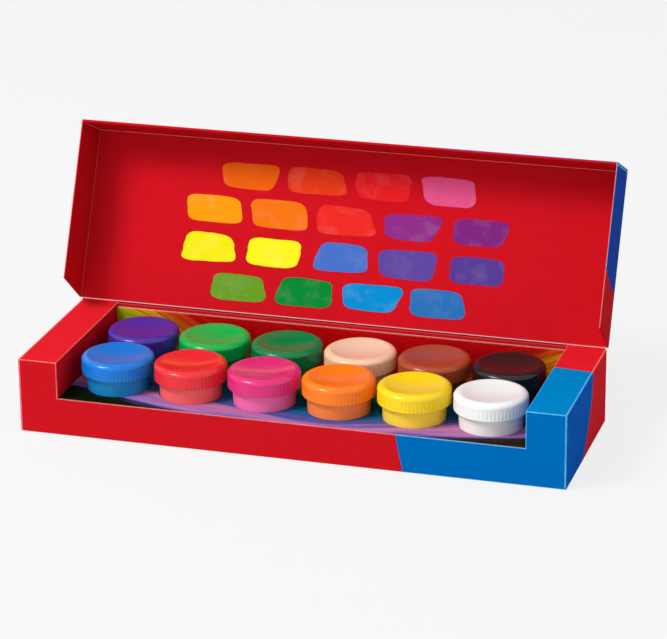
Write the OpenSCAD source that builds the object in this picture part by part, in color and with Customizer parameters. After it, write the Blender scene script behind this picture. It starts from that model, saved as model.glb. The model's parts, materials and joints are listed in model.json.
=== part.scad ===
// Gouache paint set: a folded board carton with a hinged lid, a printed platform
// with round holes, and screw-cap pots that each hold paint under a sealing ring.
// The origin is the middle of the base on the table. X runs along the box,
// +Y points to the hinge and +Z up. The lid is drawn open, as it stands in use.

/* [Board] */
// Thickness of the folding board
board = 0.6; // [0.4:0.1:0.9]
// Slip clearance between the platform and the tray around it
slip = 0.1; // [0.05:0.05:0.3]
// Air left between two plies where board is rolled back on itself
roll_gap = 0.05; // [0.02:0.01:0.2]

/* [Tray] */
// Width of each closed end column
column_w = 20; // [14:1:30]
// Height of the platform, which is also the sill of the front window
platform_h = 19; // [14:1:22]
// Room above the caps, up to the level of the column tops
headroom = 2; // [1:0.5:6]
// Room between the front row of caps and the platform's front leg
front_room = 5.85; // [2:0.05:12]
// Room between the rear row of caps and the platform's rear flap
rear_room = 5.2; // [2:0.05:12]
// Room between the last cap of a row and the column beside it
end_room = 4.9; // [1:0.1:10]
// How far the platform's rear flap stays below the tray's rim
flap_drop = 1.7; // [0.5:0.1:5]
// Width of the floor tab that each column stands on
column_tab_w = 9; // [5:1:12]

/* [Lid] */
// Depth of the lid's walls, over the outside
lid_wall_h = 28; // [16:1:34]
// Clearance between the closed lid and the tray
lid_gap = 0.3; // [0.2:0.1:1]
// How far along each side wall its slanted hinge end reaches
lid_slant = 8; // [4:1:14]
// Distance from the crease line to the edge of the lid's panel
crease_gap = 0.5; // [0.4:0.1:0.7]
// Angle of the lid from closed, as drawn
lid_open = 115; // [0:1:205]

/* [Pots] */
// Number of pots in a row
pots_per_row = 6; // [4:1:6]
// Outer diameter of a pot under its cap
pot_d = 31.2; // [28:0.2:36]
// Height of a pot without its cap
pot_h = 33; // [28:1:40]
// Wall of a pot's body
pot_wall = 1; // [0.8:0.1:1.6]
// Thickness of a pot's base
pot_base_t = 1.2; // [0.8:0.1:2]
// How much a pot's radius shrinks from the shoulder to the base
pot_draft = 0.3; // [0:0.1:0.6]
// Step from a pot's body in to its neck
neck_step = 0.4; // [0.2:0.1:0.8]
// Wall of a pot's neck
neck_wall = 1.2; // [1:0.1:1.6]
// Gap between a pot's shoulder and the lower edge of its cap
skirt_gap = 0.3; // [0.2:0.1:1]
// Chamfer around a pot's base, inside and outside
base_chamfer = 1; // [0.4:0.1:1.5]
// Depth of the hollow under a pot's base
foot_hollow = 0.4; // [0.2:0.1:0.6]
// Width of the ring that a pot stands on
foot_ring_w = 2.5; // [1.5:0.1:4]
// Clearance between a pot and its hole in the platform
hole_gap = 0.3; // [0.2:0.05:1]
// Clearance between the caps of neighbouring pots in a row
cap_gap_x = 1.8; // [0.6:0.1:6]
// Clearance between the caps of the two rows
cap_gap_y = 1.3; // [0.6:0.1:6]
// Level of the paint below a pot's rim
paint_drop = 2; // [1.5:0.1:5]
// Clearance around the paint in its pot
paint_gap = 0.1; // [0.05:0.05:0.3]

/* [Caps] */
// Height of a cap
cap_h = 8.7; // [8:0.1:12]
// Wall of a cap's skirt
cap_wall = 1.5; // [1.2:0.1:2.2]
// Room for the thread between a pot's neck and the skirt
thread_room = 1.4; // [1:0.1:2]
// Thickness of a cap's dished top
cap_top_t = 1.4; // [1:0.1:1.8]
// Thickness of a cap from its sealing seat up to its rim
cap_rim_t = 1.6; // [1.2:0.1:2.2]
// Depth of the dish in a cap's top
dish_depth = 2; // [1:0.1:2.4]
// Radius of the rounded shoulder of a cap
shoulder_r = 2; // [1:0.1:2.4]
// Number of grip flutes around a cap
flutes = 60; // [36:1:80]
// Depth of a grip flute
flute_depth = 0.3; // [0.15:0.05:0.5]
// Height of the fluted part of a skirt
flute_h = 5.2; // [3:0.2:6]
// Thickness of the sealing ring
seal_t = 0.8; // [0.5:0.1:1.4]
// Clearance around the sealing ring inside its cap
seal_gap = 0.4; // [0.2:0.1:0.6]
// How far the sealing ring reaches inwards past the pot's mouth
seal_lap = 0.5; // [0.3:0.1:0.7]

/* [Hidden] */
$fn = 96;
pot_rows = 2;
pot_count = pot_rows * pots_per_row;
function two(i) = i < 10 ? str("0", i) : str(i);
function pot_nodes(i) = [for (piece = ["pot_", "paint_", "seal_", "cap_"]) str(piece, two(i))];

// Front row, then rear row, each from left to right
paint_colours = [
    "dodgerblue", "tomato", "mediumvioletred", "darkorange", "gold", "whitesmoke",
    "darkslateblue", "limegreen", "seagreen", "peachpuff", "sienna", "dimgray"
];
function paint_colour(i) = paint_colours[(i - 1) % len(paint_colours)];

// Radii and levels of a pot, measured from its own base
pot_r = pot_d / 2;
neck_r = pot_r - neck_step;
mouth_r = neck_r - neck_wall;
cap_bore_r = neck_r + thread_room;
cap_r = cap_bore_r + cap_wall;
cap_seat_z = pot_h + seal_t;
cap_z = cap_seat_z + cap_rim_t - cap_h;
neck_z = cap_z - skirt_gap;
boss_r = mouth_r - seal_lap - seal_gap;

// The dish is a slice of a large ball
dish_r = cap_r - shoulder_r;
ball_r = (dish_r * dish_r + dish_depth * dish_depth) / (2 * dish_depth);

// Rows of pots
pitch_x = 2 * cap_r + cap_gap_x;
pitch_y = 2 * cap_r + cap_gap_y;
rows_d = (pot_rows - 1) * pitch_y + 2 * cap_r;
well_w = (pots_per_row - 1) * pitch_x + 2 * cap_r + 2 * end_room;

// Outer size of the tray, around the pots and the platform
box_w = well_w + 2 * column_w;
front_build = board + slip + board + front_room;
rear_build = rear_room + board + roll_gap + board + slip + board;
box_d = front_build + rows_d + rear_build;
box_h = board + pot_h + seal_t + cap_rim_t + headroom;
rows_y = (front_build - rear_build) / 2;
front_y = -box_d / 2;
rear_y = box_d / 2;

// The crease between the tray and the lid is the line that the lid turns about
hinge_y = rear_y - board / 2;
hinge_z = box_h + lid_gap + board / 2;
lid_w = box_w + 2 * (lid_gap + board);
lid_l = hinge_y - front_y + lid_gap + 2 * board + roll_gap;
lid_edge_z = board / 2 - lid_wall_h;

// Small overrun that lets a cut pass clean through
over = 1;

// Where pot i stands, counted along the front row and then the rear row
function pot_place(i) = [
    ((i - 1) % pots_per_row - (pots_per_row - 1) / 2) * pitch_x,
    rows_y + (floor((i - 1) / pots_per_row) - (pot_rows - 1) / 2) * pitch_y,
    board
];

// Rectangle with rounded corners, centred on x and standing on y = 0
module rounded_plate(w, h, r) {
    translate([-w / 2, r]) square([w, h - 2 * r]);
    translate([r - w / 2, 0]) square([w - 2 * r, h]);
    for (x = [r - w / 2, w / 2 - r], y = [r, h - r]) translate([x, y]) circle(r);
}

// Section through board that is folded along a path, with round folds outside
module folded(path) {
    for (k = [1:len(path) - 1]) {
        step = path[k] - path[k - 1];
        translate(path[k - 1]) rotate(atan2(step.y, step.x))
            translate([0, -board / 2]) square([norm(step), board]);
    }
    for (k = [1:1:len(path) - 2]) translate(path[k]) circle(board / 2);
}

// Stands a section drawn in x and height upright, and runs it along Y
module along_y(from, to) {
    translate([0, to, 0]) rotate([90, 0, 0]) linear_extrude(to - from) children();
}

// Stands a section drawn in y and height upright, and runs it along X
module along_x(from, to) {
    translate([from, 0, 0]) rotate([90, 0, 90]) linear_extrude(to - from) children();
}

// The space inside the tray's outer faces, with its folds rounded
module tray_envelope() {
    intersection() {
        along_y(front_y, rear_y) rounded_plate(box_w, box_h, board);
        along_x(-box_w / 2, box_w / 2) rounded_plate(box_d, box_h, board);
        linear_extrude(box_h) translate([0, front_y]) rounded_plate(box_w, box_d, board);
    }
}

// Base, end walls, windowed front wall and rear wall, with the crease bead on top
module tray_carton() {
    wall_x = box_w / 2 - board / 2;
    color("crimson") {
        intersection() {
            tray_envelope();
            union() {
                along_y(front_y, rear_y)
                    folded([[-wall_x, box_h], [-wall_x, board / 2], [wall_x, board / 2], [wall_x, box_h]]);
                along_y(front_y, front_y + board) difference() {
                    translate([-box_w / 2, 0]) square([box_w, box_h]);
                    translate([-well_w / 2, platform_h]) square([well_w, box_h]);
                }
                along_y(rear_y - board, rear_y) translate([-box_w / 2, 0]) square([box_w, box_h]);
            }
        }
        along_x(board - box_w / 2, box_w / 2 - board) {
            translate([hinge_y - board / 2, box_h - board]) square([board, hinge_z - box_h + board]);
            translate([hinge_y, hinge_z]) circle(board / 2);
        }
    }
}

// Top strip, inner wall and floor tab of the end column on one side, -1 or 1
module column(side) {
    wall_x = side * (well_w / 2 + board / 2);
    top_z = box_h - board / 2;
    tab_z = board * 3 / 2;
    color("firebrick")
        along_y(front_y + board, rear_y - board)
            folded([
                [side * (box_w / 2 - board), top_z], [wall_x, top_z],
                [wall_x, tab_z], [wall_x + side * column_tab_w, tab_z]
            ]);
}

// Platform with a hole for each pot, a front leg and a rolled rear flap
module pot_platform() {
    front_leg_y = front_y + board + slip + board / 2;
    rear_leg_y = rear_y - board - slip - board / 2;
    flap_y = rear_leg_y - board - roll_gap;
    deck_z = platform_h - board / 2;
    flap_z = box_h - flap_drop - board / 2;
    half_w = well_w / 2 - slip;
    color("mediumpurple")
        difference() {
            along_x(-half_w, half_w)
                folded([
                    [front_leg_y, board], [front_leg_y, deck_z], [flap_y, deck_z],
                    [flap_y, flap_z], [rear_leg_y, flap_z], [rear_leg_y, board]
                ]);
            for (i = [1:pot_count])
                translate(pot_place(i)) translate([0, 0, platform_h - board - over])
                    cylinder(h = board + over, r = pot_r + hole_gap);
        }
}

// Side wall of the lid, seen along X, with its slanted hinge end
module lid_side_section() {
    polygon([
        [-crease_gap, board / 2], [-crease_gap, -board / 2],
        [-lid_slant, lid_edge_z], [-lid_l, lid_edge_z], [-lid_l, board / 2]
    ]);
}

// Panel and rolled front wall of the lid, seen along X
module lid_panel_section() {
    wall_y = -lid_l + board / 2;
    ply_y = wall_y + board + roll_gap;
    fold_z = lid_edge_z + board / 2;
    folded([
        [-crease_gap, 0], [wall_y, 0], [wall_y, fold_z], [ply_y, fold_z], [ply_y, -board / 2 - slip]
    ]);
}

// The closed lid, drawn from its crease line, with its panel level
module closed_lid() {
    intersection() {
        union() {
            along_x(-lid_w / 2, lid_w / 2) lid_panel_section();
            for (x = [-lid_w / 2, lid_w / 2 - board]) along_x(x, x + board) lid_side_section();
        }
        translate([0, 0, lid_edge_z])
            along_y(-lid_l, 0) rounded_plate(lid_w, lid_wall_h, board);
    }
}

module lid_carton() {
    color("crimson")
        translate([0, hinge_y, hinge_z]) rotate([-lid_open, 0, 0]) closed_lid();
}

// Half section of a pot's outside, with its shoulder and neck
module pot_outline() {
    base_r = pot_r - pot_draft;
    polygon([
        [0, 0], [base_r - base_chamfer, 0], [base_r, base_chamfer], [pot_r, neck_z - neck_step],
        [neck_r, neck_z], [neck_r, pot_h], [0, pot_h]
    ]);
}

// Half section of the space in a pot, kept clear of its walls, up to a level
module pot_space(clear, level) {
    low_r = pot_r - pot_draft - pot_wall - clear;
    polygon([
        [0, pot_base_t], [low_r - base_chamfer, pot_base_t], [low_r, pot_base_t + base_chamfer],
        [pot_r - pot_wall - clear, neck_z - neck_step - pot_wall],
        [mouth_r - clear, neck_z], [mouth_r - clear, level], [0, level]
    ]);
}

module pot(i) {
    color(paint_colour(i), 0.9)
        translate(pot_place(i)) rotate_extrude() difference() {
            pot_outline();
            pot_space(0, pot_h + over);
            translate([0, -over])
                square([pot_r - pot_draft - base_chamfer - foot_ring_w, foot_hollow + over]);
        }
}

module paint(i) {
    color(paint_colour(i))
        translate(pot_place(i)) rotate_extrude() pot_space(paint_gap, pot_h - paint_drop);
}

// Ring that the cap presses on the pot's rim
module seal(i) {
    color("lightgray")
        translate(pot_place(i)) translate([0, 0, pot_h]) linear_extrude(seal_t) difference() {
            circle(cap_bore_r - seal_gap);
            circle(mouth_r - seal_lap);
        }
}

// Half section of a cap from its lower edge: skirt, rounded shoulder, dished top
module cap_section() {
    dish_z = cap_h - dish_depth + ball_r;
    difference() {
        union() {
            square([cap_r, cap_h - shoulder_r]);
            square([cap_r - shoulder_r, cap_h]);
            translate([cap_r - shoulder_r, cap_h - shoulder_r]) circle(shoulder_r);
        }
        translate([0, dish_z]) circle(ball_r);
        difference() {
            translate([0, -over]) square([cap_bore_r, cap_h - cap_rim_t + over]);
            intersection() {
                square([boss_r, cap_h]);
                translate([0, dish_z - cap_top_t]) circle(ball_r);
            }
        }
    }
}

// Ring of flutes to cut from a skirt. The lands between them keep the cap's radius.
module flute_ring() {
    land = 0.05;
    linear_extrude(flute_h + over) difference() {
        circle(cap_r + over);
        polygon([
            for (k = [0:2 * flutes - 1])
                let (r = k % 2 == 0 ? cap_r + land : cap_r - flute_depth, a = 180 * k / flutes)
                    [r * cos(a), r * sin(a)]
        ]);
    }
}

module cap(i) {
    color(paint_colour(i))
        translate(pot_place(i)) translate([0, 0, cap_z]) difference() {
            rotate_extrude() cap_section();
            translate([0, 0, -over]) flute_ring();
        }
}

tray_carton();
column(-1);  // left_column
column(1);  // right_column
pot_platform();
lid_carton();
for (i = [1:pot_count]) {
    pot(i);
    paint(i);
    seal(i);
    cap(i);
}
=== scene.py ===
"""Looks of the gouache paint set box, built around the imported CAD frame.

The cartons and the platform keep their CAD shapes and get printed-board materials.
The pots, caps, sealing rings and paint are finer meshes that stand for their CAD nodes.
The colour chart on the lid's lining is a set of thin dabs laid on the lid's panel.
"""

import json
import math
import random

import bmesh
import bpy
import numpy as np
from mathutils import Matrix, Vector


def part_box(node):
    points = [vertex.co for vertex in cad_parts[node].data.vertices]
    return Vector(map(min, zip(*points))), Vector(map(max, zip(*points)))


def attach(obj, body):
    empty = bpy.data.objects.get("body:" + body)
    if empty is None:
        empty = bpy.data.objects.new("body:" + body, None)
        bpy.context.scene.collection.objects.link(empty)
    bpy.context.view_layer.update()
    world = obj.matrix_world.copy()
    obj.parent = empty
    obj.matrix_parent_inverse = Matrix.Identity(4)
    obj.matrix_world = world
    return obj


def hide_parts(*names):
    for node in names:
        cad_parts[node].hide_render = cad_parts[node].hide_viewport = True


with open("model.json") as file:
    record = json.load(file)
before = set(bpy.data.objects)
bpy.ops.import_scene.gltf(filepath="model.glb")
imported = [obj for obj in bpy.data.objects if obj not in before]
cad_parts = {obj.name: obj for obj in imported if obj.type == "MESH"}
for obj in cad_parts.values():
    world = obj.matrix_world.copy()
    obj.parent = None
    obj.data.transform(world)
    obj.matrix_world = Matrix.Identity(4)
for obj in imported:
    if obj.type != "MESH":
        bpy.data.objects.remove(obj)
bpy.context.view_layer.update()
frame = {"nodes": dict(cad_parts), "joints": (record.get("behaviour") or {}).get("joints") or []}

MM = 0.001


def in_mm(node):
    """Lowest and highest corners of a CAD node, in millimetres."""
    low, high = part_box(node)
    return low / MM, high / MM


# Sizes read from the frame, in millimetres
TRAY_LOW, TRAY_HIGH = in_mm("left_column")
BOX_HALF = -TRAY_LOW.x
WELL_HALF = -TRAY_HIGH.x
BOX_TOP = TRAY_HIGH.z
HINGE = next(j for j in frame["joints"] if j["name"] == "lid_hinge")
HINGE_Y, HINGE_Z = HINGE["pos_m"][1] / MM, HINGE["pos_m"][2] / MM
LID_OPEN = math.radians(115)
LID_HALF = in_mm("lid_carton")[1].x
FRONT_Y, REAR_Y = (corner.y for corner in in_mm("tray_carton"))

# Sizes of the board construction that the frame's boxes don't give, in millimetres
BOARD = 0.6
SILL = 19.0
LID_WALL = 27.7
LID_PANEL = 88.95
LID_PLY = 88.0
LID_EDGE = 0.5

# Print colours, as linear red, green and blue; some are lit or shaded copies of the red and blue that paint
# in light and shade
RED = (0.57, 0.008, 0.015)
# A darker copy of the red for the lid's inner faces: painted shade
LINING_RED_PAINTED_SHADE = (0.55, 0.007, 0.014)
BLUE = (0.0, 0.146, 0.465)
NAVY = (0.008, 0.056, 0.38)
# Lit copies of the red and blue for the tray's top strips and end faces: painted light
TOP_AND_END_RED_PAINTED_LIGHT = (0.72, 0.014, 0.024)
TOP_BLUE_PAINTED_LIGHT = (0.0, 0.225, 0.56)
END_BLUE_PAINTED_LIGHT = (0.0, 0.110, 0.520)
RED_FOLD = (0.86, 0.19, 0.17)
BLUE_FOLD = (0.13, 0.46, 0.82)
RAW_BOARD = (0.52, 0.50, 0.46)

# Half width of the soft edge between two inks, in millimetres
INK_EDGE = 0.12

# Edges of the blue area: where each starts, how far it moves over its run, and the power of its curve
TRAY_FRONT_SWEEP = (52.5, 5.5, 1.6)
TRAY_END_SWEEP = (12.8, -21.5, 2.1)
TRAY_TOP_SLOPE = 0.107
LID_SIDE_SWEEP = (27.0, 10.0, 1.5)
LID_FRONT_SWEEP = (44.5, 6.0, 1.5)
LID_PANEL_SWEEP = (LID_HALF, LID_FRONT_SWEEP[0] - LID_HALF, 0.62)


class Shade:
    """One procedural material. Sockets and plain numbers mix freely in its sums."""

    def __init__(self, name, roughness=0.4, specular=0.5):
        self.material = bpy.data.materials.new(name)
        self.material.use_nodes = True
        self.tree = self.material.node_tree
        self.shader = self.tree.nodes["Principled BSDF"]
        self.shader.inputs["Roughness"].default_value = roughness
        self.shader.inputs["Specular IOR Level"].default_value = specular
        self.place = self.tree.nodes.new("ShaderNodeTexCoord").outputs["Object"]

    def feed(self, socket, value):
        if isinstance(value, bpy.types.NodeSocket):
            self.tree.links.new(value, socket)
        elif hasattr(value, "__len__") and len(value) == 3 and socket.type == "RGBA":
            socket.default_value = (*value, 1)
        else:
            socket.default_value = value

    def math(self, operation, *values):
        node = self.tree.nodes.new("ShaderNodeMath")
        node.operation = operation
        for socket, value in zip(node.inputs, values):
            self.feed(socket, value)
        return node.outputs[0]

    def total(self, *values):
        result = values[0]
        for value in values[1:]:
            result = self.math("ADD", result, value)
        return result

    def highest(self, *values):
        result = values[0]
        for value in values[1:]:
            result = self.math("MAXIMUM", result, value)
        return result

    def product(self, *values):
        result = values[0]
        for value in values[1:]:
            result = self.math("MULTIPLY", result, value)
        return result

    def less(self, value, amount):
        return self.math("SUBTRACT", value, amount)

    def rise(self, value, low, high):
        """0 up to low, 1 from high, and a smooth climb between. With low over high it falls."""
        node = self.tree.nodes.new("ShaderNodeMapRange")
        node.interpolation_type = "SMOOTHSTEP"
        for name, number in (("Value", value), ("From Min", low), ("From Max", high)):
            self.feed(node.inputs[name], number)
        return node.outputs[0]

    def span(self, value, low, high, to_low, to_high):
        """Maps low..high evenly to to_low..to_high and holds the ends."""
        node = self.tree.nodes.new("ShaderNodeMapRange")
        names = ("Value", "From Min", "From Max", "To Min", "To Max")
        for name, number in zip(names, (value, low, high, to_low, to_high)):
            self.feed(node.inputs[name], number)
        return node.outputs[0]

    def mix(self, share, first, second, blend="MIX"):
        node = self.tree.nodes.new("ShaderNodeMix")
        node.data_type = "RGBA"
        node.blend_type = blend
        colours = [socket for socket in node.inputs if socket.type == "RGBA"]
        self.feed(node.inputs[0], share)
        self.feed(colours[0], first)
        self.feed(colours[1], second)
        return next(socket for socket in node.outputs if socket.type == "RGBA")

    def millimetres(self):
        """The surface point's x, y and z in the frame at rest."""
        scaled = self.tree.nodes.new("ShaderNodeVectorMath")
        scaled.operation = "SCALE"
        self.feed(scaled.inputs[0], self.place)
        scaled.inputs["Scale"].default_value = 1 / MM
        split = self.tree.nodes.new("ShaderNodeSeparateXYZ")
        self.tree.links.new(scaled.outputs[0], split.inputs[0])
        return tuple(split.outputs)

    def vector(self, x, y, z):
        node = self.tree.nodes.new("ShaderNodeCombineXYZ")
        for socket, value in zip(node.inputs, (x, y, z)):
            self.feed(socket, value)
        return node.outputs[0]

    def noise(self, scale, detail=2.0, roughness=0.5, vector=None):
        """Soft noise about 0.5. Its scale is in features per metre unless a vector is given."""
        node = self.tree.nodes.new("ShaderNodeTexNoise")
        self.feed(node.inputs["Vector"], self.place if vector is None else vector)
        for name, number in (("Scale", scale), ("Detail", detail), ("Roughness", roughness)):
            node.inputs[name].default_value = number
        return node.outputs[0]

    def ramp(self, share, stops):
        """Colour ramp through (place, colour) stops."""
        node = self.tree.nodes.new("ShaderNodeValToRGB")
        elements = node.color_ramp.elements
        while len(elements) < len(stops):
            elements.new(0.5)
        for element, (place, colour) in zip(elements, stops):
            element.position = place
            element.color = (*colour, 1)
        self.feed(node.inputs[0], share)
        return node.outputs[0]

    def bump(self, height, depth, strength=1.0):
        """Adds relief of that depth in metres over what is there."""
        node = self.tree.nodes.new("ShaderNodeBump")
        node.inputs["Strength"].default_value = strength
        node.inputs["Distance"].default_value = depth
        self.feed(node.inputs["Height"], height)
        before = self.shader.inputs["Normal"].links
        if before:
            self.tree.links.new(before[0].from_socket, node.inputs["Normal"])
        self.tree.links.new(node.outputs[0], self.shader.inputs["Normal"])

    def wear(self, share, low, high):
        """Roughness that varies with a share from low to high."""
        self.feed(self.shader.inputs["Roughness"], self.span(share, 0.3, 0.7, low, high))

    def colour(self, value):
        self.feed(self.shader.inputs["Base Color"], value)
        return self.material


def fold(shade, a, b, at_a, at_b, reach=0.36, soft=0.12):
    """Share of a pale fold line, worn ink with a painted highlight, that runs through (at_a, at_b), square to
    a and b.
    """
    across = shade.math("POWER", shade.less(a, at_a), 2.0)
    along = shade.math("POWER", shade.less(b, at_b), 2.0)
    distance = shade.math("SQRT", shade.total(across, along))
    return shade.rise(distance, reach + soft, reach)


def sweep(shade, share, edge):
    """Place of a curved ink edge at a share of its run from 0 to 1."""
    start, change, power = edge
    return shade.total(start, shade.product(change, shade.math("POWER", share, power)))


def beyond(shade, value, edge, soft=INK_EDGE):
    """1 where a value is past an edge and 0 before it. A negative soft turns that round."""
    return shade.rise(shade.less(value, edge), -soft, soft)


def board_finish(shade, colour, lines, fold_colour):
    """Print on lacquered board: ink that varies a little, pale folds of worn ink and painted highlight, and a
    fine paper grain.
    """
    ink = shade.noise(90.0, detail=4.0)
    fibre = shade.noise(2600.0, detail=3.0, roughness=0.6)
    # Pale fold and edge lines: partly worn ink, partly painted highlight.
    worn_ink_and_painted_highlight = shade.product(lines, shade.span(shade.noise(420.0), 0.25, 0.6, 0.55, 0.95))
    varied = shade.mix(shade.span(ink, 0.3, 0.7, 0.0, 0.05), colour, (0.0, 0.0, 0.0))
    varied = shade.mix(shade.span(fibre, 0.62, 0.85, 0.0, 0.05), varied, fold_colour)
    shade.wear(shade.noise(160.0, detail=3.0), 0.34, 0.46)
    shade.bump(shade.noise(34.0, detail=1.0), 0.00008, 0.25)
    shade.bump(fibre, 0.00003, 0.2)
    return shade.colour(shade.mix(worn_ink_and_painted_highlight, varied, fold_colour))


def tray_print_and_painted_light():
    """Red board with the blue area that sweeps round its right front corner, painted light on its top strips
    and ends, and a painted shadow along the hinge.
    """
    shade = Shade("tray_print_and_painted_light", specular=0.0005)
    x, y, z = shade.millimetres()
    side = shade.math("ABSOLUTE", x)
    drop = shade.math("MAXIMUM", shade.less(1.0, shade.math("DIVIDE", z, BOX_TOP + 1)), 0.0)
    at_front = shade.rise(y, FRONT_Y + 0.7, FRONT_Y + 0.5)
    on_front = shade.product(at_front, beyond(shade, x, sweep(shade, drop, TRAY_FRONT_SWEEP)))
    top_shift = shade.product(TRAY_TOP_SLOPE, shade.less(BOX_HALF, x))
    end_edge = shade.total(sweep(shade, drop, TRAY_END_SWEEP), top_shift)
    past_well = shade.rise(x, WELL_HALF - 0.5, WELL_HALF - 0.3)
    on_end = shade.product(past_well, beyond(shade, y, end_edge, -INK_EDGE))
    blue = shade.highest(on_front, on_end)
    beside_well = shade.rise(side, WELL_HALF - 0.1, WELL_HALF + 0.1)
    over_well = shade.less(1.0, beside_well)
    lines = shade.highest(
        fold(shade, side, z, BOX_HALF, BOX_TOP),
        fold(shade, side, z, BOX_HALF, 0.0),
        fold(shade, side, z, WELL_HALF, BOX_TOP, 0.3),
        fold(shade, side, y, BOX_HALF, FRONT_Y),
        fold(shade, side, y, BOX_HALF, REAR_Y),
        shade.product(fold(shade, side, y, WELL_HALF, FRONT_Y, 0.3), shade.rise(z, SILL - 0.4, SILL)),
        shade.product(fold(shade, side, y, WELL_HALF, TRAY_LOW.y, 0.25), shade.rise(z, SILL - 0.4, SILL)),
        shade.product(fold(shade, y, z, FRONT_Y, BOX_TOP), beside_well),
        shade.product(fold(shade, y, z, FRONT_Y + BOARD / 2, SILL, 0.3), over_well),
        fold(shade, y, z, FRONT_Y, 0.0),
        fold(shade, y, z, REAR_Y, 0.0),
        shade.product(fold(shade, y, z, REAR_Y, BOX_TOP, 0.5), beside_well),
        shade.product(fold(shade, y, z, REAR_Y - BOARD, BOX_TOP, 0.25), over_well, 0.25),
    )
    # A dark band along the hinge bead over the well: painted shadow of the gap between lid and tray.
    painted_hinge_shadow = shade.product(shade.rise(z, BOX_TOP + 0.02, BOX_TOP + 0.1), over_well)
    # The tray's top strips and end faces take the lit copies of the inks: painted light.
    on_top = shade.rise(z, BOX_TOP - 0.3, BOX_TOP - 0.15)
    at_end = shade.rise(side, BOX_HALF - 0.35, BOX_HALF - 0.25)
    red_with_painted_light = shade.mix(shade.highest(on_top, at_end), RED, TOP_AND_END_RED_PAINTED_LIGHT)
    blue_with_painted_light = shade.mix(at_end, shade.mix(on_top, BLUE, TOP_BLUE_PAINTED_LIGHT), END_BLUE_PAINTED_LIGHT)
    ground = shade.mix(blue, red_with_painted_light, blue_with_painted_light)
    ground = shade.mix(shade.product(painted_hinge_shadow, 0.75), ground, (0.10, 0.0, 0.003))
    return board_finish(shade, ground, lines, shade.mix(blue, RED_FOLD, BLUE_FOLD))


def lid_print_and_painted_light():
    """Red lid whose lining takes a darker red as painted shade, and the blue sweep over its right outer
    corner.
    """
    shade = Shade("lid_print_and_painted_light", specular=0.0005)
    x, y, z = shade.millimetres()
    side = shade.math("ABSOLUTE", x)
    up, out = shade.less(z, HINGE_Z), shade.less(y, HINGE_Y)
    cosine, sine = -math.cos(LID_OPEN), math.sin(LID_OPEN)
    along = shade.total(shade.product(out, cosine), shade.product(up, sine))
    inward = shade.total(shade.product(out, -sine), shade.product(up, cosine))
    depth = shade.math("MAXIMUM", shade.math("DIVIDE", inward, LID_WALL), 0.0)
    run = shade.span(along, LID_SIDE_SWEEP[0], LID_PANEL, 0.0, 1.0)
    at_side = shade.rise(x, LID_HALF - 0.35, LID_HALF - 0.25)
    at_panel = shade.rise(inward, -0.05, -0.15)
    at_front = shade.rise(along, LID_PANEL - 0.05, LID_PANEL + 0.05)
    on_side = shade.product(at_side, beyond(shade, along, sweep(shade, depth, LID_SIDE_SWEEP)))
    on_panel = shade.product(at_panel, beyond(shade, x, sweep(shade, run, LID_PANEL_SWEEP)))
    on_front = shade.product(at_front, beyond(shade, x, sweep(shade, depth, LID_FRONT_SWEEP)))
    blue = shade.highest(on_side, on_panel, on_front)
    inside = shade.product(
        shade.rise(inward, 0.1, 0.2),
        shade.rise(side, LID_HALF - 0.25, LID_HALF - 0.35),
        shade.rise(along, LID_PANEL + 0.05, LID_PANEL - 0.05),
    )
    wall = LID_HALF - BOARD / 2
    lines = shade.highest(
        fold(shade, side, inward, wall, 0.0, 0.45),
        fold(shade, side, inward, wall, LID_WALL, 0.3),
        fold(shade, along, inward, LID_PANEL, 0.0, 0.4),
        fold(shade, along, inward, LID_PLY, BOARD / 2, 0.25),
        fold(shade, side, along, wall, LID_PLY, 0.4),
        fold(shade, side, along, wall, LID_PANEL, 0.4),
        shade.product(fold(shade, along, inward, LID_EDGE, 0.0, 0.4, 0.2), 0.3),
    )
    # The lid's inner faces take the darker red: painted shade.
    ground = shade.mix(inside, RED, LINING_RED_PAINTED_SHADE)
    ground = shade.mix(blue, ground, NAVY)
    return board_finish(shade, ground, lines, shade.mix(blue, RED_FOLD, BLUE_FOLD))


# Places along the platform's printed face, as shares from its front edge to the flap's top
STREAKS = (
    (0.00, (0.004, 0.010, 0.003)),
    (0.06, (0.010, 0.018, 0.006)),
    (0.08, (0.120, 0.070, 0.340)),
    (0.12, (0.300, 0.190, 0.560)),
    (0.16, (0.620, 0.200, 0.430)),
    (0.20, (0.420, 0.180, 0.460)),
    (0.24, (0.130, 0.090, 0.380)),
    (0.30, (0.020, 0.120, 0.380)),
    (0.38, (0.000, 0.160, 0.280)),
    (0.50, (0.000, 0.080, 0.120)),
    (0.62, (0.020, 0.160, 0.020)),
    (0.74, (0.420, 0.480, 0.010)),
    (0.80, (0.780, 0.420, 0.008)),
    (0.86, (0.720, 0.080, 0.006)),
    (0.93, (0.640, 0.010, 0.008)),
    (1.00, (0.600, 0.004, 0.006)),
)
UMBER = (0.050, 0.022, 0.006)

# The bands' slow arch and ripple along the platform, in millimetres and radians per millimetre
ARCH_MIDDLE, ARCH_RATE, ARCH_HEIGHT, ARCH_GROWTH = 12.0, 0.0235, 11.0, 0.14
RIPPLE_HEIGHT, RIPPLE_RATE, RIPPLE_START = 2.2, 0.071, 0.4
BAND_START = 6.0


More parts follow.
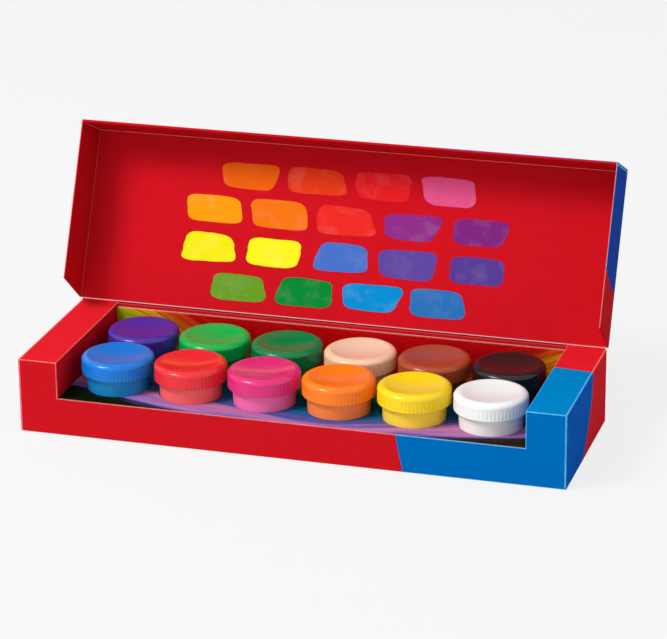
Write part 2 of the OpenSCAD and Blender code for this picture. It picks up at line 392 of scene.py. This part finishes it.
def platform_print():
    """Soft brushed bands of colour that arch along the platform in slow waves."""
    shade = Shade("platform_print", specular=0.001)
    x, y, z = shade.millimetres()
    low, high = in_mm("pot_platform")
    climb = shade.math("MAXIMUM", shade.less(z, SILL), 0.0)
    run = shade.total(shade.less(y, low.y), climb)
    length = (high.y - low.y) + (high.z - SILL)
    arch = shade.math("COSINE", shade.product(shade.less(x, ARCH_MIDDLE), ARCH_RATE))
    arch = shade.product(arch, shade.total(ARCH_HEIGHT, shade.product(run, ARCH_GROWTH)))
    ripple = shade.math("SINE", shade.total(shade.product(x, RIPPLE_RATE), RIPPLE_START))
    band = shade.total(run, arch, shade.product(RIPPLE_HEIGHT, ripple), BAND_START)
    stroke = shade.vector(shade.product(x, 0.010), shade.product(band, 0.16), shade.product(z, 0.02))
    hair = shade.vector(shade.product(x, 0.018), shade.product(band, 1.1), 3.7)
    broad = shade.noise(1.6, detail=3.0, roughness=0.55, vector=stroke)
    fine = shade.noise(1.0, detail=4.0, roughness=0.6, vector=hair)
    shift = shade.total(shade.span(broad, 0.2, 0.8, -0.07, 0.07), shade.span(fine, 0.25, 0.75, -0.018, 0.018))
    share = shade.total(shade.math("DIVIDE", band, length), shift)
    paint = shade.ramp(share, STREAKS)
    corner = shade.product(shade.rise(x, 20.0, 75.0), shade.rise(share, 0.15, 0.10))
    paint = shade.mix(shade.product(corner, shade.span(fine, 0.35, 0.65, 0.0, 1.0)), paint, UMBER)
    paint = shade.mix(shade.span(fine, 0.35, 0.7, 0.0, 0.35), paint, (0.0, 0.0, 0.0))
    under = shade.rise(z, SILL - 0.15, SILL - 0.3)
    rear = shade.rise(y, high.y - BOARD - 0.2, high.y - BOARD)
    ground = shade.mix(shade.math("MAXIMUM", under, rear), paint, RAW_BOARD)
    lines = shade.highest(
        shade.product(fold(shade, y, z, low.y, SILL, 0.3), 0.5),
        shade.product(fold(shade, y, z, high.y - 2 * BOARD, high.z, 0.3), 0.35),
    )
    return board_finish(shade, ground, lines, (0.62, 0.36, 0.28))


def plastic(name, colour, low, high, speckle=0.0):
    """Glossy moulded plastic whose skin and shine vary a little."""
    shade = Shade(name, specular=0.32)
    cloud = shade.noise(140.0, detail=3.0)
    skin = shade.noise(900.0, detail=2.0)
    tint = shade.mix(shade.span(cloud, 0.3, 0.7, 0.0, 0.08), colour, tuple(0.86 * c for c in colour))
    tint = shade.mix(shade.span(shade.noise(5200.0), 0.68, 0.8, 0.0, speckle), tint, (0.9, 0.9, 0.9))
    shade.wear(shade.noise(260.0, detail=4.0), low, high)
    shade.bump(skin, 0.00004, 0.18)
    shade.bump(cloud, 0.00012, 0.12)
    return shade.colour(tint)


def gouache(name, colour):
    """Thick matt paint with soft lumps and swirls."""
    shade = Shade(name, roughness=0.6, specular=0.35)
    swirl = shade.noise(260.0, detail=5.0, roughness=0.6)
    shade.wear(swirl, 0.42, 0.7)
    shade.bump(swirl, 0.0005, 0.5)
    return shade.colour(shade.mix(shade.span(swirl, 0.35, 0.7, 0.0, 0.2), colour, (0.9, 0.9, 0.9)))


def seal_foam():
    """Soft white sealing ring with fine closed cells."""
    shade = Shade("seal_foam", roughness=0.7, specular=0.3)
    cells = shade.noise(3800.0, detail=3.0, roughness=0.7)
    shade.bump(cells, 0.00012, 0.6)
    shade.wear(cells, 0.6, 0.8)
    return shade.colour(shade.mix(cells, (0.80, 0.79, 0.75), (0.66, 0.65, 0.61)))


def dab_paint(name, colour, seed):
    """Poster colour brushed on the board, denser where the brush stopped."""
    shade = Shade(name, specular=0.03)
    x, y, z = shade.millimetres()
    stroke = shade.vector(shade.product(x, 0.05), shade.product(z, 0.8), float(seed))
    hairs = shade.noise(1.4, detail=4.0, roughness=0.6, vector=stroke)
    pool = shade.noise(130.0, detail=2.0)
    dense = shade.mix(shade.span(hairs, 0.3, 0.7, 0.0, 0.22), colour, tuple(0.72 * c for c in colour))
    thin = shade.mix(shade.span(pool, 0.5, 0.75, 0.0, 0.04), dense, (0.9, 0.85, 0.8))
    shade.wear(hairs, 0.42, 0.6)
    shade.bump(hairs, 0.00006, 0.4)
    return shade.colour(thin)


def arc(middle_r, middle_z, radius, start, end, steps):
    """Points on an arc of a half section, from one angle in degrees to another."""
    angles = [math.radians(start + (end - start) * k / steps) for k in range(steps + 1)]
    return [(middle_r + radius * math.cos(a), middle_z + radius * math.sin(a)) for a in angles]


def lathe(section, segments, shape=None, ring=False):
    """Turns a half section about Z. It runs from axis to axis, or is closed as a ring.
    shape takes arrays of radius, height and angle, and gives back the first two."""
    radius, height = (np.array(column) for column in zip(*section))
    angles = np.linspace(0, 2 * math.pi, segments, endpoint=False)
    r, turn = np.meshgrid(radius, angles, indexing="ij")
    z = np.meshgrid(height, angles, indexing="ij")[0]
    if shape:
        r, z = shape(r, z, turn)
    points = np.stack([r * np.cos(turn), r * np.sin(turn), z], axis=-1).reshape(-1, 3)
    count = len(section)
    faces = []
    for k in range(count if ring else count - 1):
        low, high = k * segments, (k + 1) % count * segments
        for j in range(segments):
            after = (j + 1) % segments
            faces.append((low + j, low + after, high + after, high + j))
    return points, faces


def thread(root, crest, start_z, pitch, start, end, root_w, crest_w):
    """Screw ridge from one angle to another, in degrees, that fades out at both ends."""
    step, fade = 6, 40
    points, faces = [], []
    stations = list(range(start, end + 1, step))
    for angle in stations:
        share = min(1.0, (angle - start) / fade, (end - angle) / fade)
        share = 0.04 + 0.96 * math.sin(share * math.pi / 2)
        middle = start_z + pitch * angle / 360
        top = root + (crest - root) * share
        turn = math.radians(angle)
        for r, half in ((root, -root_w), (top, -crest_w), (top, crest_w), (root, root_w)):
            points.append((r * math.cos(turn), r * math.sin(turn), middle + half / 2 * share))
    for k in range(len(stations) - 1):
        for side in range(4):
            a, b = 4 * k + side, 4 * k + (side + 1) % 4
            faces.append((a, b, b + 4, a + 4))
    faces.append((3, 2, 1, 0))
    last = 4 * (len(stations) - 1)
    faces.append((last, last + 1, last + 2, last + 3))
    return np.array(points), faces


def joined(*shapes):
    """Several (points, faces) shapes as one."""
    points, faces, count = [], [], 0
    for part_points, part_faces in shapes:
        points.append(part_points)
        faces += [tuple(corner + count for corner in face) for face in part_faces]
        count += len(part_points)
    return np.concatenate(points), faces


def mesh_of(name, shape, smooth=True):
    """Mesh in metres from a shape in millimetres, with doubled points welded."""
    points, faces = shape
    mesh = bpy.data.meshes.new(name)
    mesh.from_pydata((points * MM).tolist(), [], faces)
    tool = bmesh.new()
    tool.from_mesh(mesh)
    bmesh.ops.remove_doubles(tool, verts=tool.verts, dist=1e-7)
    bmesh.ops.dissolve_degenerate(tool, edges=tool.edges, dist=1e-8)
    bmesh.ops.recalc_face_normals(tool, faces=tool.faces)
    tool.to_mesh(mesh)
    tool.free()
    mesh.polygons.foreach_set("use_smooth", [smooth] * len(mesh.polygons))
    return mesh


def place(name, mesh, at, material, body, slot, replaces=None):
    """Puts a mesh at a point in millimetres and hangs it on its body."""
    piece = bpy.data.objects.new(name, mesh)
    bpy.context.scene.collection.objects.link(piece)
    piece.data.materials.append(material)
    piece.location = Vector(at) * MM
    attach(piece, body)
    if replaces:
        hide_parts(replaces)
    return piece


# Sizes of a pot, its cap and its sealing ring, in millimetres
CAP_WALL = 1.5
CAP_SEAT = 1.6
CAP_TOP = 1.4
DISH_DEPTH = 1.9
SHOULDER_W, SHOULDER_H = 3.3, 2.4
LIP = 1.1
FLUTES = 60
FLUTE_DEPTH = 0.17
FLUTE_TOP = 5.2
NECK_STEP = 0.4
NECK_WALL = 1.2
POT_WALL = 1.0
POT_BASE = 1.2
POT_DRAFT = 0.3
FOOT_RING = 2.5
FOOT_HOLLOW = 0.4
PITCH = 3.0
# A little less than the 0.8 of the solid, so that ring and cap share no face
SEAL_T = 0.77
SKIRT_LEVELS = (6.2, 5.8, 5.5, 5.2, 4.9, 4.6, 4.0, 3.0, 2.0, 1.2, 0.8, 0.55)


def cap_shape(radius, height):
    """Screw cap with its lower edge at height 0: dished top, rounded shoulder, fluted skirt, thread."""
    ridge_r = radius - SHOULDER_W
    slope = 2 * math.atan(DISH_DEPTH / ridge_r)
    rim = ridge_r - LIP * math.sin(slope)
    ball = rim / math.sin(slope)
    dish_z = height - LIP * (1 - math.cos(slope))
    bore, seat = radius - CAP_WALL, height - CAP_SEAT
    boss = bore - 3.5
    under = dish_z - ball * (1 - math.cos(slope)) - CAP_TOP

    def dish(r, base):
        return base + ball - math.sqrt(ball * ball - r * r)

    floor_z = dish_z - ball * (1 - math.cos(slope))
    section = [(rim * k / 12, dish(rim * k / 12, floor_z)) for k in range(12)]
    section += arc(ridge_r, height - LIP, LIP, 90 + math.degrees(slope), 90, 4)
    shoulder = arc(0, 0, 1, 90, 0, 12)[1:]
    section += [(ridge_r + SHOULDER_W * r, height + SHOULDER_H * (z - 1)) for r, z in shoulder]
    section += [(radius, z) for z in SKIRT_LEVELS]
    section += arc(radius - 0.3, 0.3, 0.3, 0, -90, 4)
    section += arc(bore + 0.2, 0.2, 0.2, -90, -180, 3)
    section += [(bore, 0.5), (bore, 3.0), (bore, seat - 0.5)]
    section += arc(bore - 0.3, seat - 0.3, 0.3, 0, 90, 3)
    section += [(boss + 0.2, seat), (boss, seat - 0.1), (boss, dish(boss, under))]
    section += [(boss * k / 6, dish(boss * k / 6, under)) for k in range(5, -1, -1)]

    def flute(r, z, turn):
        grip = np.clip((FLUTE_TOP + 0.3 - z) / 0.9, 0, 1) * np.clip((z - 0.25) / 0.35, 0, 1)
        wave = (0.5 - 0.5 * np.cos(FLUTES * turn)) ** 1.6
        outer = r > radius - 0.31
        return np.where(outer, r - FLUTE_DEPTH * grip * wave, r), z

    ridge = thread(bore + 0.12, bore - 0.85, 3.4, PITCH, -160, 250, 1.5, 0.45)
    return joined(lathe(section, FLUTES * 6, flute), ridge)


def pot_shape(radius, height, neck_z):
    """Pot with its base at height 0, its neck from neck_z and a thread on the neck."""
    base, neck = radius - POT_DRAFT, radius - NECK_STEP
    mouth, ring = neck - NECK_WALL, base - 1.0 - FOOT_RING
    wall = base - POT_WALL
    section = [(0, FOOT_HOLLOW), (ring - 0.4, FOOT_HOLLOW), (ring, 0.05), (ring + 0.2, 0)]
    section += arc(base - 1.0, 1.0, 1.0, -90, 0, 6)
    section += [(base, 1.4), (radius - 0.12, neck_z * 0.6), (radius, neck_z - NECK_STEP - 0.3)]
    section += arc(radius - 0.25, neck_z - NECK_STEP, 0.25, 0, 90, 3)
    section += [(neck + 0.05, neck_z - 0.02), (neck, neck_z + 0.1), (neck, neck_z + 1), (neck, height - 0.5)]
    section += arc(neck - 0.35, height - 0.35, 0.35, 0, 90, 4)
    section += arc(mouth + 0.35, height - 0.35, 0.35, 90, 180, 4)
    section += [(mouth, height - 0.7), (mouth, neck_z), (radius - POT_WALL, neck_z - NECK_STEP - POT_WALL)]
    section += [(wall, POT_BASE + 1.2)] + arc(wall - 1.0, POT_BASE + 1.0, 1.0, 0, -90, 4) + [(0, POT_BASE)]
    ridge = thread(neck - 0.12, neck + 0.8, 28.0, PITCH, 0, 400, 1.5, 0.45)
    return joined(lathe(section, 192), ridge)


def paint_shape(radius, height, neck_z):
    """Fill of gouache under the pot's base height 0, with a soft uneven top."""
    body = radius - POT_WALL - 0.1
    mouth = radius - NECK_STEP - NECK_WALL - 0.1
    low = radius - POT_DRAFT - POT_WALL - 0.1
    section = [(0, POT_BASE), (low - 1, POT_BASE), (low, POT_BASE + 1), (body, neck_z - NECK_STEP - POT_WALL)]
    section += [(mouth, neck_z), (mouth, height - 0.7), (mouth, height - 0.05)]
    section += [(mouth - 0.3, height - 0.22), (mouth - 0.9, height - 0.34)]
    section += [(mouth * k / 8, height - 0.40) for k in range(7, -1, -1)]

    def stir(r, z, turn):
        top = (z > height - 0.5) & (r < mouth - 0.2)
        lift = 0.10 * np.sin(2 * turn + r * 0.5) + 0.07 * np.sin(5 * turn - r * 0.9)
        return r, np.where(top, z + lift * np.minimum(r / 4, 1), z)

    return lathe(section, 96, stir)


def seal_shape(inner, outer, thick):
    """Flat sealing ring with softened edges, its underside at height 0."""
    soft = 0.12
    section = arc(outer - soft, soft, soft, -90, 0, 2) + arc(outer - soft, thick - soft, soft, 0, 90, 2)
    section += arc(inner + soft, thick - soft, soft, 90, 180, 2) + arc(inner + soft, soft, soft, 180, 270, 2)
    return lathe(section, 128, ring=True)


# Each colour's cap and pot, as linear red, green and blue, front row then rear row
PAINTS = (
    ("blue", (0.000, 0.175, 0.630), (0.008, 0.230, 0.560)),
    ("red", (0.760, 0.022, 0.032), (0.880, 0.120, 0.110)),
    ("magenta", (0.680, 0.024, 0.175), (0.820, 0.150, 0.380)),
    ("orange", (0.960, 0.200, 0.008), (0.940, 0.230, 0.050)),
    ("yellow", (0.930, 0.640, 0.008), (0.930, 0.680, 0.045)),
    ("white", (0.850, 0.855, 0.850), (0.880, 0.850, 0.780)),
    ("violet", (0.060, 0.026, 0.330), (0.090, 0.060, 0.280)),
    ("light_green", (0.000, 0.420, 0.075), (0.040, 0.300, 0.090)),
    ("dark_green", (0.000, 0.190, 0.055), (0.020, 0.140, 0.060)),
    ("peach", (0.900, 0.560, 0.370), (0.740, 0.450, 0.260)),
    ("brown", (0.380, 0.065, 0.022), (0.240, 0.050, 0.020)),
    ("black", (0.013, 0.013, 0.014), (0.030, 0.028, 0.028)),
)


# Kinds of piece in a pot's stack, and the names of their meshes
STACK = (("pot", "pot_body"), ("paint", "paint_fill"), ("seal", "seal_ring"), ("cap", "screw_cap"))


def make_pots():
    """Twelve pots, each with its paint, sealing ring and cap, standing where the frame says."""
    foam = seal_foam()
    pot_low, pot_high = in_mm("pot_01")
    cap_low, cap_high = in_mm("cap_01")
    paint_high = in_mm("paint_01")[1]
    seal_low, seal_high = in_mm("seal_01")
    pot_r, pot_h = (pot_high.x - pot_low.x) / 2, pot_high.z - pot_low.z
    cap_r, cap_h = (cap_high.x - cap_low.x) / 2, cap_high.z - cap_low.z
    seal_r = (seal_high.x - seal_low.x) / 2
    neck_z = cap_low.z - pot_low.z - 0.3
    shapes = {
        "pot": mesh_of("pot", pot_shape(pot_r, pot_h, neck_z)),
        "paint": mesh_of("paint", paint_shape(pot_r, paint_high.z - pot_low.z, neck_z)),
        "seal": mesh_of("seal", seal_shape(seal_r - 2.7, seal_r, SEAL_T)),
        "cap": mesh_of("cap", cap_shape(cap_r, cap_h)),
    }
    for number, (colour, cap_colour, pot_colour) in enumerate(PAINTS, start=1):
        tag = f"{number:02d}"
        low, high = in_mm(f"pot_{tag}")
        x, y = (low.x + high.x) / 2, (low.y + high.y) / 2
        finishes = {
            "pot": plastic(f"pot_{colour}", pot_colour, 0.26, 0.38),
            "paint": gouache(f"paint_{colour}", cap_colour),
            "seal": foam,
            "cap": plastic(f"cap_{colour}", cap_colour, 0.13, 0.22),
        }
        for kind, title in STACK:
            node = f"{kind}_{tag}"
            body = {"paint": f"pot_{tag}"}.get(kind, node)
            slot = "seal" if kind == "seal" else f"{kind}_{colour}"
            base_z = low.z if kind == "paint" else in_mm(node)[0].z
            mesh = shapes[kind].copy()
            place(f"{title}_{tag}", mesh, (x, y, base_z), finishes[kind], body, slot, node)


def on_lining(x, along, inward):
    """Frame point, in millimetres, of a place on the open lid: across, from the hinge, off the panel."""
    cosine, sine = -math.cos(LID_OPEN), math.sin(LID_OPEN)
    return (x, HINGE_Y + along * cosine - inward * sine, HINGE_Z + along * sine + inward * cosine)


# Dabs of the colour chart, row by row from the lid's front edge down to the hinge
CHART = (
    ((0.78, 0.115, 0.002), (0.71, 0.040, 0.008), (0.72, 0.012, 0.016), (0.72, 0.085, 0.250)),
    (
        (0.88, 0.300, 0.003), (0.80, 0.160, 0.004), (0.74, 0.020, 0.016),
        (0.240, 0.022, 0.220), (0.190, 0.016, 0.190),
    ),
    (
        (0.80, 0.740, 0.004), (0.84, 0.800, 0.010), (0.055, 0.150, 0.520),
        (0.100, 0.055, 0.320), (0.085, 0.040, 0.270),
    ),
    ((0.125, 0.300, 0.014), (0.000, 0.220, 0.030), (0.000, 0.240, 0.600), (0.020, 0.150, 0.450)),
)
CHART_MIDDLE = (-2.0, 42.0)
DAB_PITCH = (35.0, 19.0)
DAB_SIZE = (28.5, 14.0)
DAB_PROUD = 0.035


def dab_outline(dice, across, along):
    """Hand-brushed patch: a soft rectangle with its corners and sides a little out of true."""
    waves = []
    for k in (2, 3, 5, 7, 11, 16):
        waves.append((k, dice.uniform(0.006, 0.026) / math.sqrt(k), dice.uniform(0, 2 * math.pi)))
    lean, taper = dice.uniform(-0.10, 0.10), dice.uniform(-0.14, 0.14)
    points = []
    for k in range(96):
        a = 2 * math.pi * k / 96
        c, s = math.cos(a), math.sin(a)
        reach = (abs(c) ** 5 + abs(s) ** 5) ** (-1 / 5)
        reach *= 1 + sum(size * math.sin(n * a + phase) for n, size, phase in waves)
        u, v = reach * c, reach * s
        side = across / 2 * (u + lean * v) * (1 + taper * v)
        points.append((side, along / 2 * v * (1 + 0.4 * u * taper)))
    return points


def dab_shape(outline, middle):
    """Thin patch of paint on the lid's panel, with a rounded edge."""
    rings = []
    face = BOARD / 2
    for inset, inward in ((0.0, face - 0.02), (0.0, face + 0.6 * DAB_PROUD), (0.18, face + DAB_PROUD)):
        ring = []
        for u, v in outline:
            keep = 1 - inset / math.hypot(u, v)
            ring.append(on_lining(middle[0] + u * keep, middle[1] + v * keep, inward))
        rings.append(ring)
    count = len(outline)
    faces = [tuple(range(count)), tuple(range(2 * count, 3 * count))]
    for level in range(2):
        for k in range(count):
            a, b = level * count + k, level * count + (k + 1) % count
            faces.append((a, b, b + count, a + count))
    return np.array([point for ring in rings for point in ring]), faces


def make_chart():
    """Colour chart of brushed dabs in staggered rows on the lid's lining."""
    dice = random.Random(7)
    number = 0
    for row, colours in enumerate(CHART):
        for column, colour in enumerate(colours):
            number += 1
            middle = (
                CHART_MIDDLE[0] + (column - (len(colours) - 1) / 2) * DAB_PITCH[0] + dice.uniform(-0.8, 0.8),
                CHART_MIDDLE[1] + (1.5 - row) * DAB_PITCH[1] + dice.uniform(-0.6, 0.6),
            )
            across = DAB_SIZE[0] * dice.uniform(0.95, 1.05)
            along = DAB_SIZE[1] * dice.uniform(0.94, 1.06)
            shape = dab_shape(dab_outline(dice, across, along), middle)
            mesh = mesh_of(f"dab_{number:02d}", shape, smooth=False)
            paint = dab_paint(f"dab_paint_{number:02d}", colour, number)
            place(f"chart_dab_{number:02d}", mesh, (0, 0, 0), paint, "lid", "carton_print")


def dress_cartons():
    """Gives the carton and platform nodes their printed board, with its painted light and shade."""
    tray, lid, platform = tray_print_and_painted_light(), lid_print_and_painted_light(), platform_print()
    finishes = {
        "tray_carton": tray,
        "left_column": tray,
        "right_column": tray,
        "lid_carton": lid,
        "pot_platform": platform,
    }
    for name, material in finishes.items():
        node = frame["nodes"][name]
        node.data.materials.clear()
        node.data.materials.append(material)


# The photograph's camera, in millimetres and degrees
IMAGE_W = 667
FOCAL_PX = 3120.5
SENSOR_W = 36.0
CAMERA_AT = (423.84, -1364.28, 596.01)
CAMERA_AZIMUTH, CAMERA_ELEVATION, CAMERA_ROLL = 16.839, 20.699, -0.594


def make_camera():
    """Camera where the photograph was taken from."""
    azimuth, elevation, roll = (math.radians(a) for a in (CAMERA_AZIMUTH, CAMERA_ELEVATION, CAMERA_ROLL))
    back = Vector((
        math.sin(azimuth) * math.cos(elevation),
        -math.cos(azimuth) * math.cos(elevation),
        math.sin(elevation),
    ))
    level = Vector((0, 0, 1)).cross(back).normalized()
    upright = back.cross(level)
    right = level * math.cos(roll) + upright * math.sin(roll)
    up = upright * math.cos(roll) - level * math.sin(roll)
    data = bpy.data.cameras.new("photo_camera")
    data.sensor_width = SENSOR_W
    data.lens = FOCAL_PX / IMAGE_W * SENSOR_W
    data.clip_start, data.clip_end = 0.05, 40
    camera = bpy.data.objects.new("photo_camera", data)
    bpy.context.scene.collection.objects.link(camera)
    turn = Matrix((right, up, back)).transposed()
    camera.matrix_world = Matrix.Translation(Vector(CAMERA_AT) * MM) @ turn.to_4x4()
    bpy.context.scene.camera = camera


def soft_light(name, at, target, width, power):
    """Square softbox, in metres and watts, that faces its target."""
    data = bpy.data.lights.new(name, "AREA")
    data.shape = "SQUARE"
    data.size = width
    data.energy = power
    lamp = bpy.data.objects.new(name, data)
    bpy.context.scene.collection.objects.link(lamp)
    lamp.location = at
    lamp.rotation_mode = "QUATERNION"
    lamp.rotation_quaternion = (Vector(target) - Vector(at)).to_track_quat("-Z", "Y")


def seen_directly(tree):
    """1 for rays from the camera or off a shiny surface, and 0 for the light on diffuse ones."""
    path = tree.nodes.new("ShaderNodeLightPath")
    share = path.outputs["Is Camera Ray"]
    for name in ("Is Glossy Ray", "Is Transmission Ray"):
        node = tree.nodes.new("ShaderNodeMath")
        node.operation = "MAXIMUM"
        tree.links.new(share, node.inputs[0])
        tree.links.new(path.outputs[name], node.inputs[1])
        share = node.outputs[0]
    return share


# Strength of the white surroundings for what they light
AMBIENT = 0.48

# Softboxes: name, place and width in metres, and power in watts
LIGHTS = (
    ("key_box", (-1.025, -0.86, 1.54), 0.75, 32.5),
    ("front_fill", (-0.15, -1.65, 0.34), 1.1, 6),
    ("side_fill", (1.65, -0.45, 0.50), 1.1, 3),
)


def make_studio():
    """Pale floor, white surroundings, a key softbox and weak fills from the front and right."""
    world = bpy.data.worlds.new("studio")
    world.use_nodes = True
    tree = world.node_tree
    background = tree.nodes["Background"]
    background.inputs["Color"].default_value = (1, 1, 1, 1)
    strength = tree.nodes.new("ShaderNodeMapRange")
    tree.links.new(seen_directly(tree), strength.inputs["Value"])
    strength.inputs["To Min"].default_value = AMBIENT
    strength.inputs["To Max"].default_value = 1.0
    tree.links.new(strength.outputs[0], background.inputs["Strength"])
    bpy.context.scene.world = world

    reach = 12.0
    mesh = bpy.data.meshes.new("floor")
    corners = [(-reach, -reach, 0), (reach, -reach, 0), (reach, reach, 0), (-reach, reach, 0)]
    mesh.from_pydata(corners, [], [(0, 1, 2, 3)])
    floor = bpy.data.objects.new("floor", mesh)
    bpy.context.scene.collection.objects.link(floor)
    floor.location.z = -0.0001
    floor.data.materials.append(floor_paint())

    middle = (0, 0, 0.05)
    for name, at, width, power in LIGHTS:
        soft_light(name, at, middle, width, power)


def floor_paint():
    """Matt pale floor that looks white to the camera and keeps the object's shadow."""
    shade = Shade("floor_paint", roughness=0.9, specular=0.1)
    grain = shade.noise(40.0, detail=2.0)
    shade.colour(shade.mix(grain, (0.60, 0.60, 0.60), (0.62, 0.62, 0.62)))
    glow = shade.tree.nodes.new("ShaderNodeEmission")
    blend = shade.tree.nodes.new("ShaderNodeMixShader")
    share = shade.product(seen_directly(shade.tree), 0.8)
    output = next(node for node in shade.tree.nodes if node.type == "OUTPUT_MATERIAL")
    shade.tree.links.new(share, blend.inputs[0])
    shade.tree.links.new(shade.shader.outputs[0], blend.inputs[1])
    shade.tree.links.new(glow.outputs[0], blend.inputs[2])
    shade.tree.links.new(blend.outputs[0], output.inputs["Surface"])
    return shade.material


make_camera()
make_studio()
dress_cartons()
make_pots()
make_chart()

bpy.context.scene.view_settings.view_transform = "Standard"
